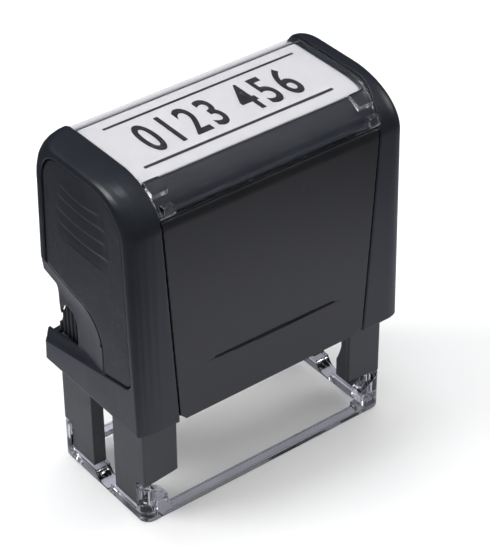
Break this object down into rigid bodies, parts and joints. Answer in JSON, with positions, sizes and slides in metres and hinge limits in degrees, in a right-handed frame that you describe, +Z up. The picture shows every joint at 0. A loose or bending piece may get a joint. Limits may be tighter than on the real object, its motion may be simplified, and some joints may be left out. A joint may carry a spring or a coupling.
{
  "type": "self inking stamp",
  "caption": "Sprung cap over a frame and clear base; pressing it turns the die carriage half over from the ink pad to the paper.",
  "frame": {"origin": "on the ground under the middle of the stamp", "axes": "+Z up, the way the cap rises; +X along the stamp; -Y towards the front panel, +Y the way the ink pad slides out"},
  "size_m": [0.0774, 0.0402, 0.0939],
  "materials": {
    "cap_plastic": "satin gloss black moulding",
    "panel_plastic": "gloss black flat panel",
    "grip_plastic": "fine matte grain, charcoal",
    "frame_plastic": "satin black moulding",
    "clear_plastic": "clear polished plastic",
    "card": "smooth white card with black print",
    "steel": "drawn steel wire and pins",
    "foot_rubber": "matte grey rubber",
    "foam": "closed-cell mounting foam",
    "plate_rubber": "engraved rubber printing plate",
    "ink_felt": "ink-soaked black felt"
  },
  "bodies": {
    "frame": {"frame_end_right": "frame_plastic", "frame_end_left": "frame_plastic", "frame_bridge": "frame_plastic", "base_foot": "clear_plastic", "foot_pad_1": "foot_rubber", "foot_pad_2": "foot_rubber", "foot_pad_3": "foot_rubber", "foot_pad_4": "foot_rubber", "return_spring": "steel"},
    "cap": {"cap_shell": "cap_plastic", "front_panel": "panel_plastic", "end_panel_right": "grip_plastic", "end_panel_left": "grip_plastic", "index_card": "card", "drive_yoke": "frame_plastic", "axle_pin_right": "steel", "axle_pin_left": "steel"},
    "window": {"index_window": "clear_plastic"},
    "carriage": {"die_carriage": "frame_plastic", "guide_pin_right": "steel", "guide_pin_left": "steel", "plate_cushion": "foam", "text_plate": "plate_rubber"},
    "pad": {"pad_tray": "grip_plastic", "ink_pad": "ink_felt"}
  },
  "joints": [
    {"name": "cap_press", "type": "slide", "parent": "frame", "child": "cap", "axis": [0, 0, -1], "range_m": [0, 0.023], "stiffness_N_per_m": 700, "springref_m": -0.01, "deforming": ["return_spring"]},
    {"name": "carriage_flip", "type": "hinge", "parent": "cap", "child": "carriage", "pos_m": [0, 0, 0.0327], "axis": [1, 0, 0], "range_deg": [0, 180.5]},
    {"name": "pad_slide", "type": "slide", "parent": "frame", "child": "pad", "axis": [0, 1, 0], "range_m": [0, 0.036]},
    {"name": "window_lift", "type": "slide", "parent": "cap", "child": "window", "axis": [0, 0, 1], "range_m": [0, 0.015]}
  ],
  "couplings": [
    {"joint": "carriage_flip", "follows": "cap_press", "rad_per_m": 136.59}
  ]
}
